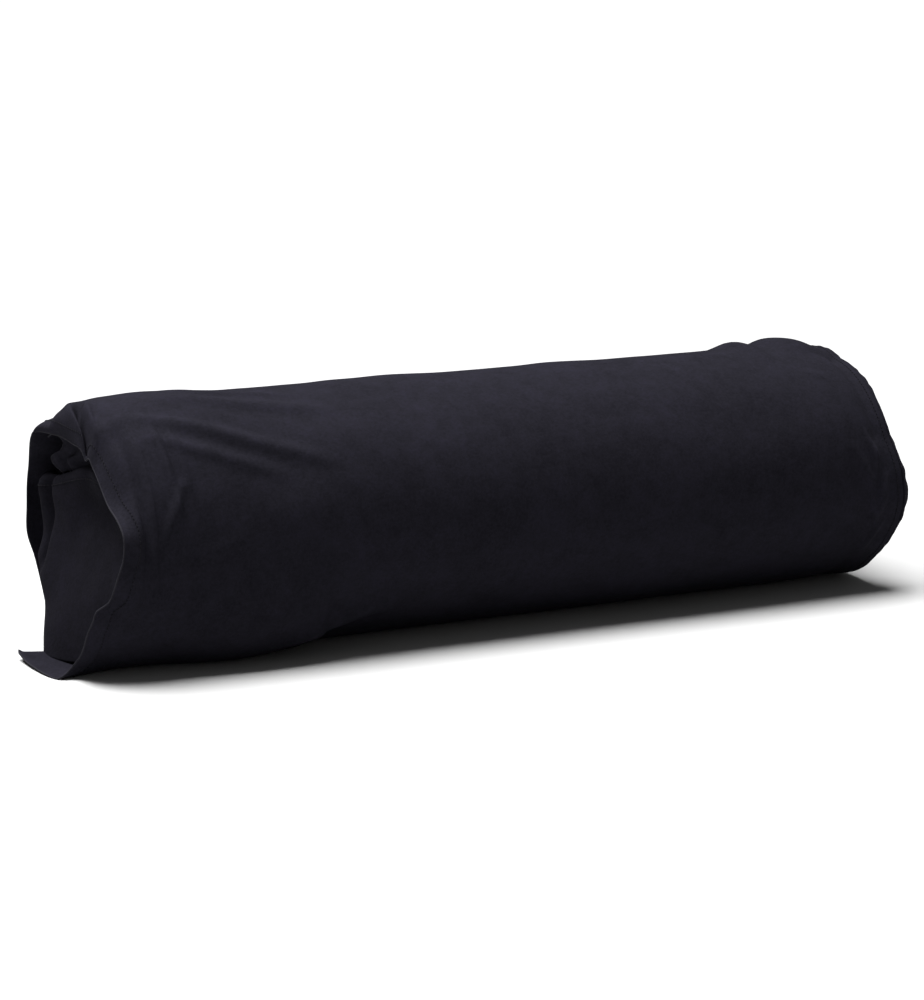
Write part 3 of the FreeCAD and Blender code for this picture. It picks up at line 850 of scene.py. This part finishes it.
# Rows of the flap from its foot up to its rolled top fold and down behind it, near side to far side.
FLAP_ROWS = [
    [(-334, -81, 41), (-341, -50, 11), (-348, -20, 4), (-353, -3, 2.5), (-357, 12, 2.5), (-357, 21, 2.5)],
    [(-329, -86, 58), (-337, -50, 42), (-343, -8, 38), (-347, 15, 36), (-348, 38, 34), (-344, 54, 34)],
    [(-326, -91, 80), (-331, -50, 68), (-338, 0, 62), (-343, 30, 60), (-346, 56, 59), (-338, 78, 60)],
    [(-321, -94, 100), (-322, -50, 94), (-329, 0, 90), (-334, 30, 88), (-338, 57, 85), (-330, 90, 87)],
    [(-318, -90, 118), (-315, -50, 118), (-321, 0, 117), (-328, 30, 115), (-335, 57, 109), (-328, 94, 112)],
    [(-322, -76, 136), (-323, -50, 145), (-329, -10, 149), (-331, 20, 143), (-334, 57, 132), (-326, 92, 132)],
    [(-316, -75, 139), (-315, -50, 148), (-319, -10, 153), (-321, 20, 147), (-325, 57, 136), (-316, 90, 133)],
    [(-313, -72, 124), (-312, -50, 130), (-313, -10, 137), (-314, 20, 130), (-315, 57, 118), (-313, 88, 116)],
]
FLAP_COLUMNS = 72
FLAP_STEPS = 96
FLAP_SEWING_ROWS = 7  # from the flap's rolled top down to its sewing
FLAP_LIMIT_X = BOLSTER_END_X - 5.0  # the cloth of the flap stays on the mouth's side of this


def flap_grid():
    """The points of the flap, rippled, with one upright fold towards its far side."""
    rows = np.array([through(row, FLAP_COLUMNS) for row in FLAP_ROWS])
    grid = np.stack([through(rows[:, c], FLAP_STEPS) for c in range(FLAP_COLUMNS)], axis=1)
    up = np.linspace(0, 1, FLAP_STEPS)[:, None]
    free = smooth_step(0.05, 0.3, up)
    gather = smooth_step(0.45, 0.75, up)
    grid[..., 0] += free * (1.4 * slow_ripple(grid) + (0.5 + 1.2 * gather) * quick_ripple(grid))
    upright = smooth_step(56, 72, grid[..., 2]) * smooth_step(142, 130, grid[..., 2])
    grid[..., 0] += upright * (9.0 * bump(grid[..., 1], 63, 4.5) - 4.0 * bump(grid[..., 1], 78, 8))
    grid[..., 0] = np.minimum(grid[..., 0], FLAP_LIMIT_X)
    return grid


# The gathered edge above the flap, pushed up under the hood: its curled front edge, and how it runs back.
GATHER_EDGE = [(-330, 73, 166), (-329, 60, 171), (-326, 49, 165), (-327, 55, 157), (-329, 68, 151),
               (-328, 67, 145), (-322, 60, 138)]
GATHER_RUN = [(0, 0, 0), (2, -14, 4), (5, -30, 2), (8, -48, -2), (10, -66, -8), (12, -84, -18)]


def gathered_edge():
    """The flap's gathered edge with its bound thread: the pieces of it."""
    edge = through(GATHER_EDGE, 60)
    run = through(GATHER_RUN, 48)
    grid = edge[:, None] + run[None]
    back = -run[None, :, 1]
    grid[..., 0] -= 2.4 * np.sin(back / 4.2) * smooth_step(0, 16, back)
    grid[..., 2] += 1.6 * np.sin(back / 5.5 + 1.0) * smooth_step(0, 12, back)
    grid[..., 0] = np.minimum(grid[..., 0], FLAP_LIMIT_X)
    piece = grid_piece("flap_gather", grid)
    solidify(piece, CLOTH_THICK)
    subdivide(piece)
    apply_modifiers(piece)
    finish_piece(piece, cover_cloth, "cover_cloth", "cover")
    bound = overlocked_edge("flap_gather_edge", grid[:, 0])
    return [piece, bound]


def tuck_flap():
    """The flap across the mouth, with its sewing and its gathered edge: the pieces of it."""
    grid = flap_grid()
    piece = grid_piece("tuck_flap", grid)
    solidify(piece, CLOTH_THICK)
    subdivide(piece)
    apply_modifiers(piece)
    top_row = np.argmax(grid[:, FLAP_COLUMNS // 2, 2])
    path = grid[top_row - FLAP_SEWING_ROWS, 4:-4] + TO_MOUTH * CLOTH_THICK / 2
    sewn = cover_sewing("tuck_flap_stitches", "flap_hem_stitching", path, np.tile(TO_MOUTH, (len(path), 1)))
    finish_piece(piece, flap_cloth_painted_shade, "cover_cloth", "cover", "cover_tuck_flap")
    return [piece, sewn] + gathered_edge()


# --- the bolster: casing, wadding and foam --------

CASING_THICK = 1.2
CASING_CORNER = 94.0
CASING_SEAMS = (BOLSTER_END_X + 3.8, BOLSTER_FAR_X - 3.8)
CASING_COLUMNS = 240
LONG_SEAM_TURN = 263.0
PUCKER_DEPTH = 16.0
WADDING_THICK = 2.8
LOG_COLUMNS = 120

# The zip's arc round the casing's end, and the turns where its slot and its coils start and stop.
ZIP_RADIUS = 84.0
ZIP_SLOT = 6.0  # half the width of its slot
ZIP_FROM = -36.0
ZIP_TO = 196.0
COIL_FROM = -31.0
COIL_TO = 186.0

vinyl_ripple = Ripple(60, 200, seed=SEED + 2)
fluff_ripple = Ripple(12, 50, seed=SEED + 3)


def casing_surface(x, turn):
    """The middle of the vinyl where it goes round the filling, gathered and drawn in at its two seams."""
    plain = outline_reach(turn, CASING_RADIUS, CASING_CORNER, CASING_FLAT)
    at = section_point(x, turn, plain)
    to_seam = np.minimum(x - CASING_SEAMS[0], CASING_SEAMS[1] - x)
    near = np.exp(-np.maximum(to_seam, 0) / PUCKER_DEPTH)
    pinch = 1.5 * np.exp(-np.maximum(to_seam, 0) / 4.0) + shoulder(x)
    gathers = 0.35 * near * (seam_pucker(turn) - 1.6)
    sag = 0.3 * (vinyl_ripple(at) - 1.0) * smooth_step(0, 25, at[..., 2])
    return section_point(x, turn, plain - CASING_THICK / 2 - pinch + gathers + sag)


def casing_tube():
    from_seam = np.array([0, 1, 2.2, 3.6, 5.4, 8, 11, 15])
    x = np.concatenate([CASING_SEAMS[0] + from_seam,
                        np.linspace(CASING_SEAMS[0] + 20, CASING_SEAMS[1] - 20, 64),
                        CASING_SEAMS[1] - from_seam[::-1]])
    points = casing_surface(*np.meshgrid(x, round_turns(CASING_COLUMNS), indexing="ij"))
    piece = grid_piece("casing_tube", points, wrap=True)
    solidify(piece, CASING_THICK)
    subdivide(piece)
    apply_modifiers(piece)
    return piece


def casing_end(name, seam_x, face_x, swell, slot=None):
    """One end of the casing: rings from the seam in to the middle, with a slot for the zip if it has one.

    The outer rings keep the rim's outline, and the inner ones are circles that the zip's slot follows.
    """
    turns = round_turns(CASING_COLUMNS)
    rim = casing_surface(np.full_like(turns, seam_x), turns)
    reach = np.hypot(rim[:, 1], rim[:, 2] - AXIS_Z)
    reaches = [reach * share for share in (1.0, 0.994, 0.984, 0.97, 0.955)]
    reaches += [np.full_like(turns, radius) for radius in (92, 90, 78, 76, 66, 50, 32, 14)]
    rings = []
    for out in reaches:
        share = out / reach
        x = seam_x + (face_x - seam_x) * smooth_step(1.0, 0.955, share)
        x = x + swell * smooth_step(0.95, 0.3, share)
        gathers = 0.25 * seam_pucker(turns) * bump(share, 0.975, 0.012)
        rings.append(section_point(x + gathers, turns, out))
    piece = disc_piece(name, np.array(rings))
    if slot:
        open_slot(piece, *slot)
    solidify(piece, CASING_THICK)
    apply_modifiers(piece)
    return piece


def open_slot(piece, inner, outer, first_turn, last_turn):
    """Takes out the faces of an end between two radii and two turns."""
    mesh = bmesh.new()
    mesh.from_mesh(piece.data)
    gone = []
    for face in mesh.faces:
        middle = face.calc_center_median() / MM
        across, up = middle.y, middle.z - AXIS_Z
        past = (math.degrees(math.atan2(up, across)) - first_turn) % 360.0
        if inner < math.hypot(across, up) < outer and past < last_turn - first_turn:
            gone.append(face)
    bmesh.ops.delete(mesh, geom=gone, context="FACES")
    mesh.to_mesh(piece.data)
    mesh.free()


def log_piece(name, low_x, high_x, reach, round_edge, wobble):
    """A closed round log of soft filling, with rounded ends."""
    from_end = round_edge * np.array([0, 0.08, 0.3, 0.6, 1.0])
    rings = int((high_x - low_x) / 11)
    x = np.concatenate([low_x + from_end,
                        np.linspace(low_x + round_edge + 8, high_x - round_edge - 8, rings),
                        high_x - from_end[::-1]])
    grid_x, grid_turn = np.meshgrid(x, round_turns(LOG_COLUMNS), indexing="ij")
    to_end = np.minimum(grid_x - low_x, high_x - grid_x)
    inset = round_edge - np.sqrt(np.maximum(round_edge**2 - np.maximum(round_edge - to_end, 0) ** 2, 0))
    grid = section_point(grid_x, grid_turn, reach(grid_turn) - inset)
    grid = section_point(grid_x, grid_turn, reach(grid_turn) - inset + wobble(grid))
    points = np.concatenate([grid.reshape(-1, 3), [grid[0].mean(axis=0)], [grid[-1].mean(axis=0)]])
    faces = grid_faces(len(x), LOG_COLUMNS, wrap=True)
    middle = len(x) * LOG_COLUMNS
    last = middle - LOG_COLUMNS
    for c in range(LOG_COLUMNS):
        faces.append(((c + 1) % LOG_COLUMNS, c, middle))
    for c in range(LOG_COLUMNS):
        faces.append((last + c, last + (c + 1) % LOG_COLUMNS, middle + 1))
    return add_mesh(name, points, faces)


def foam_log():
    def reach(turn):
        return outline_reach(turn, foam_high[1], 88.0, AXIS_Z - foam_low[2]) - 0.3

    def wobble(at):
        return 0.2 * (fluff_ripple(at) - 1.0) - 1.5 * shoulder(at[..., 0])

    return log_piece("foam_log", foam_low[0], foam_high[0], reach, 6.0, wobble)


def wadding_roll():
    """The wadding, wrapped once round the foam."""
    x = np.linspace(wadding_low[0] + 5, wadding_high[0] - 8, 70)
    grid_x, grid_turn = np.meshgrid(x, round_turns(180), indexing="ij")
    plain = outline_reach(grid_turn, wadding_high[1], 92.0, AXIS_Z - wadding_low[2]) - 3.3
    fluff = 0.25 * fluff_ripple(section_point(grid_x, grid_turn, plain)) - 0.3
    reach = plain + fluff - 1.3 * shoulder(grid_x)
    piece = grid_piece("wadding_roll", section_point(grid_x, grid_turn, reach), wrap=True)
    solidify(piece, WADDING_THICK)
    apply_modifiers(piece)
    return piece


def casing_sewing(name, node, x, turns):
    """A row of the casing's sewing, on the outside of its vinyl."""
    up = outward(x, turns)
    made = stitches(name, casing_surface(x, turns) + up * CASING_THICK / 2, up, *CASING_STITCH)
    finish_piece(made, casing_thread, "casing_thread", "bolster", node)


def bolster():
    """The casing with its sewing, and the wadding and the foam inside it."""
    slot = (ZIP_RADIUS - ZIP_SLOT, ZIP_RADIUS + ZIP_SLOT, ZIP_FROM, ZIP_TO)
    wrap = casing_tube()
    left = casing_end("casing_end_zip", CASING_SEAMS[0], BOLSTER_END_X + CASING_THICK / 2, 0.0, slot)
    right = casing_end("casing_end_plain", CASING_SEAMS[1], BOLSTER_FAR_X - CASING_THICK / 2, 3.0)
    core = foam_log()
    roll = wadding_roll()
    finish_piece(wrap, casing_vinyl, "casing_vinyl", "bolster", "casing_wrap")
    finish_piece(left, casing_vinyl, "casing_vinyl", "bolster", "casing_end_left")
    finish_piece(right, casing_vinyl, "casing_vinyl", "bolster", "casing_end_right")
    finish_piece(core, foam("foam"), "foam", "bolster", "foam_core")
    finish_piece(roll, wadding("wadding"), "wadding", "bolster", "wadding_wrap")

    turns = np.linspace(0, 360, 361)
    for name, node in (("casing_left_stitches", "casing_seam_stitching_left"),
                       ("casing_right_stitches", "casing_seam_stitching_right")):
        casing_sewing(name, node, np.full_like(turns, node_box(node)[0][0] + 0.4), turns)
    low, high = node_box("casing_long_stitching")
    x = np.linspace(low[0], high[0], 240)
    casing_sewing("casing_long_stitches", "casing_long_stitching", x, np.full_like(x, LONG_SEAM_TURN))


# --- the zip --------------------------------------

ZIP_SEWING_GAP = 8.0  # from the zip's middle line to each row of its sewing
ZIP_TAPES = (70.0, 98.0)  # the inner tape's inner radius and the outer tape's outer one
COIL_PITCH = 1.5
COIL_GAP = 1.3  # from the zip's middle line to the middle of each coil
COIL_REACH = 1.15
COIL_RISE = 0.75


def zip_tape(name, node, inner, outer):
    """A flat woven tape bent in its own plane, laid behind the casing's slot."""
    turns = np.linspace(ZIP_FROM - 2, ZIP_TO + 2, 160)
    radii = np.linspace(inner, outer, 7)
    low, high = node_box(node)
    x = (low[0] + high[0]) / 2
    grid_r, grid_turn = np.meshgrid(radii, turns, indexing="ij")
    ruck = 0.06 * np.sin(np.radians(grid_turn) * 40) * smooth_step(0, 1, np.abs(grid_r - ZIP_RADIUS) / 14)
    piece = grid_piece(name, section_point(x + ruck, grid_turn, grid_r))
    solidify(piece, 0.5)
    apply_modifiers(piece)
    finish_piece(piece, tape_weave(name), "zip_tape", "bolster", node)


def zip_coil(name, node, radius, material):
    """One coil of the zip: a spiral of teeth sewn along its tape."""
    coils = math.radians(COIL_TO - COIL_FROM) * ZIP_RADIUS / COIL_PITCH
    turns = np.linspace(COIL_FROM, COIL_TO, int(coils * 12))
    wind = np.radians(turns - COIL_FROM) * ZIP_RADIUS / COIL_PITCH * 2 * math.pi
    middle = node_box(node)[1][0] - COIL_REACH
    path = section_point(middle + COIL_RISE * np.sin(wind), turns, radius + COIL_REACH * np.cos(wind))
    finish_piece(tube(name, path, 0.3), material, "zip_coil", "bolster", node)


def zip_sewing(name, node, radius):
    turns = np.linspace(ZIP_FROM, ZIP_TO, 240)
    path = section_point(BOLSTER_END_X, turns, radius)
    made = stitches(name, path, np.tile(TO_MOUTH, (len(turns), 1)), *ZIP_STITCH)
    finish_piece(made, casing_thread, "casing_thread", "bolster", node)


def zip_parts():
    """The zip's tapes, coils and sewing, and enamel on the CAD's own stops, slider and pull."""
    zip_tape("zip_tape_in", "zip_tape_inner", ZIP_TAPES[0], ZIP_RADIUS - 0.5)
    zip_tape("zip_tape_out", "zip_tape_outer", ZIP_RADIUS + 0.5, ZIP_TAPES[1])
    coil = coil_plastic("zip_coil")
    zip_coil("zip_coil_in", "zip_coil_inner", ZIP_RADIUS - COIL_GAP, coil)
    zip_coil("zip_coil_out", "zip_coil_outer", ZIP_RADIUS + COIL_GAP, coil)
    zip_sewing("zip_stitches_in", "zip_stitching_inner", ZIP_RADIUS - ZIP_SEWING_GAP)
    zip_sewing("zip_stitches_out", "zip_stitching_outer", ZIP_RADIUS + ZIP_SEWING_GAP)
    metal = enamel("zip_metal")
    for node in ("zip_bottom_stop", "zip_top_stop_inner", "zip_top_stop_outer", "zip_slider", "zip_pull"):
        bpy.data.objects[node].material_slots[0].material = metal


# --- stage, light and camera ----------------------


FLOOR_HALF = 60.0


def stage():
    corners = FLOOR_HALF / MM * np.array([(-1, -1, 0), (1, -1, 0), (1, 1, 0), (-1, 1, 0)])
    floor = add_mesh("studio_floor", corners, [(0, 1, 2, 3)], smooth=False)
    n = Nodes("studio_floor")
    n.set(Base_Color=(0.43, 0.43, 0.43, 1.0), Roughness=1.0, Specular_IOR_Level=0.0)
    floor.data.materials.append(n.material)


def area_light(name, place, target, size, power):
    """A flat light of a width and a height, aimed at its target."""
    data = bpy.data.lights.new(name, "AREA")
    data.shape = "RECTANGLE"
    data.size, data.size_y = size
    data.energy = power
    light = bpy.data.objects.new(name, data)
    light.location = place
    light.rotation_euler = (Vector(target) - Vector(place)).to_track_quat("-Z", "Y").to_euler()
    bpy.context.scene.collection.objects.link(light)


def sun(name, towards, strength, spread):
    """A far light that shines in one direction, with its spread in degrees."""
    data = bpy.data.lights.new(name, "SUN")
    data.energy = strength
    data.angle = math.radians(spread)
    light = bpy.data.objects.new(name, data)
    light.rotation_euler = Vector(towards).to_track_quat("-Z", "Y").to_euler()
    bpy.context.scene.collection.objects.link(light)


def lights():
    """A broad soft light overhead, a weak one from the front, and a little from all round."""
    world = bpy.data.worlds.new("studio")
    world.use_nodes = True
    background = world.node_tree.nodes["Background"]
    background.inputs["Color"].default_value = (1.0, 1.0, 1.0, 1.0)
    background.inputs["Strength"].default_value = 0.12
    bpy.context.scene.world = world
    sun("light_overhead", (0.08, -0.19, -0.98), 7.6, 42.0)
    area_light("light_left", (-0.75, 0.15, 1.5), (-0.35, 0, 0.1), (0.9, 0.9), 22.0)
    area_light("light_front", (-0.75, -2.1, 0.75), (-0.1, 0, 0.1), (1.0, 0.8), 1.1)
    bpy.context.scene.view_settings.view_transform = "Standard"


# Degrees, metres and millimetres of lens.
CAMERA_AZIMUTH = -27.3
CAMERA_ELEVATION = 11.4
CAMERA_DISTANCE = 2.577
CAMERA_TARGET = (0.003, 0.0, 0.0968)
CAMERA_LENS = 112.0


def camera():
    azimuth, elevation = math.radians(CAMERA_AZIMUTH), math.radians(CAMERA_ELEVATION)
    back = Vector((math.sin(azimuth) * math.cos(elevation), -math.cos(azimuth) * math.cos(elevation),
                   math.sin(elevation)))
    data = bpy.data.cameras.new("camera")
    data.lens = CAMERA_LENS
    data.sensor_width = 36.0
    eye = bpy.data.objects.new("camera", data)
    eye.location = Vector(CAMERA_TARGET) + back * CAMERA_DISTANCE
    eye.rotation_euler = back.to_track_quat("Z", "Y").to_euler()
    bpy.context.scene.collection.objects.link(eye)
    bpy.context.scene.camera = eye


def flatten_empty_cover(pieces):
    """Gives each of the cover's pieces its own copy of its mesh."""
    for piece in pieces:
        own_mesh(piece)


camera()
stage()
lights()
bolster()
zip_parts()
flatten_empty_cover(cover() + tuck_flap())
